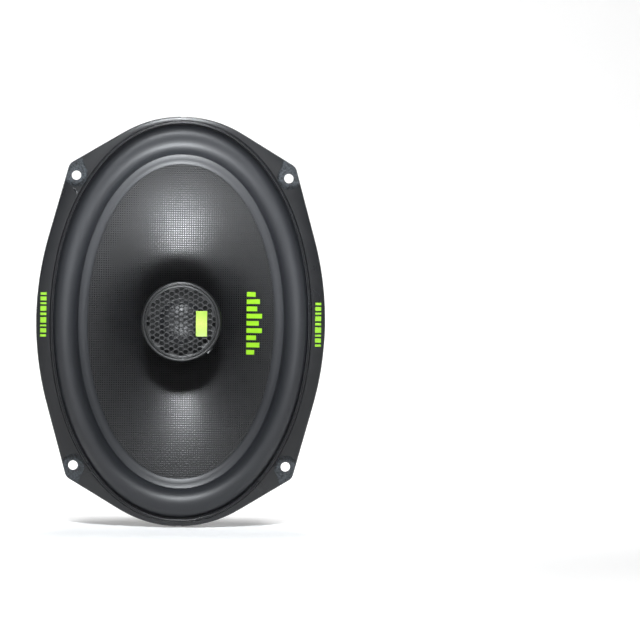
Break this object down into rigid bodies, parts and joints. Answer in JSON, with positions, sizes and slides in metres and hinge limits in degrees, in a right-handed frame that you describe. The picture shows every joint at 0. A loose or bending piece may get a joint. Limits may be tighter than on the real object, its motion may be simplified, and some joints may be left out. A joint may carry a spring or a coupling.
{
  "type": "coaxial car speaker",
  "caption": "Oval flanged coaxial loudspeaker: woven cone on a rubber roll, centre-post tweeter with a honeycomb grille, open spoked basket and booted magnet.",
  "frame": {"origin": "on the speaker's axis, in the plane of the flange's rear face, which lies on the panel", "axes": "+X across the oval, +Y rearwards along the cone's axis, +Z along the oval's long axis; the front faces -Y"},
  "size_m": [0.167, 0.0932, 0.2368],
  "materials": {
    "basket_paint": "black sand-texture powder coat on pressed steel",
    "trim_plastic": "satin moulded ABS",
    "surround_rubber": "smooth moulded butyl rubber",
    "cone_weave": "resin-set woven fibre",
    "coil_former": "amber polyimide film",
    "coil_wire": "enamelled copper wire",
    "spider_cloth": "resin-dipped cotton cloth",
    "tinsel_braid": "tinned copper tinsel braid",
    "plated_steel": "clear zinc plate",
    "ferrite": "ground sintered ferrite",
    "boot_rubber": "matt moulded rubber",
    "label": "printed white vinyl",
    "strip_board": "black phenolic laminate",
    "terminal_metal": "tinned brass",
    "red_wire": "red PVC insulation",
    "black_wire": "black PVC insulation",
    "tweeter_plastic": "black moulded ABS",
    "badge": "green domed badge",
    "dome_film": "thin polyetherimide film",
    "nickel_plate": "nickel plate",
    "capacitor_sleeve": "dark blue shrink sleeve"
  },
  "bodies": {
    "root": {"basket": "basket_paint", "trim_ring": "trim_plastic", "surround": "surround_rubber", "spider": "spider_cloth", "tinsel_lead_positive": "tinsel_braid", "tinsel_lead_negative": "tinsel_braid", "top_plate": "plated_steel", "magnet": "ferrite", "yoke": "plated_steel", "plate_rivet_1": "plated_steel", "plate_rivet_2": "plated_steel", "plate_rivet_3": "plated_steel", "plate_rivet_4": "plated_steel", "magnet_boot": "boot_rubber", "rear_label": "label", "terminal_strip": "strip_board", "terminal_rivet": "plated_steel", "terminal_positive": "terminal_metal", "terminal_negative": "terminal_metal", "tweeter_lead_positive": "red_wire", "tweeter_lead_negative": "black_wire", "tweeter_post": "plated_steel", "post_washer": "plated_steel", "post_nut": "plated_steel", "tweeter_cup": "tweeter_plastic", "tweeter_bezel": "tweeter_plastic", "tweeter_grille": "tweeter_plastic", "tweeter_baffle": "tweeter_plastic", "grille_badge": "badge", "tweeter_pole_plate": "nickel_plate", "tweeter_magnet": "nickel_plate", "tweeter_yoke": "nickel_plate", "tweeter_capacitor": "capacitor_sleeve"},
    "cone_assembly": {"cone": "cone_weave", "voice_coil_former": "coil_former", "voice_coil_winding": "coil_wire", "coil_tag_positive": "terminal_metal", "coil_tag_negative": "terminal_metal"},
    "tweeter_diaphragm": {"tweeter_dome": "dome_film", "tweeter_voice_coil": "coil_wire"}
  },
  "joints": [
    {"name": "cone_travel", "type": "slide", "parent": "root", "child": "cone_assembly", "axis": [0, -1, 0], "range_m": [-0.006, 0.006], "stiffness_N_per_m": 2000, "deforming": ["surround", "spider", "tinsel_lead_positive", "tinsel_lead_negative"]},
    {"name": "tweeter_dome_travel", "type": "slide", "parent": "root", "child": "tweeter_diaphragm", "axis": [0, -1, 0], "range_m": [-0.0003, 0.0003], "stiffness_N_per_m": 300}
  ]
}
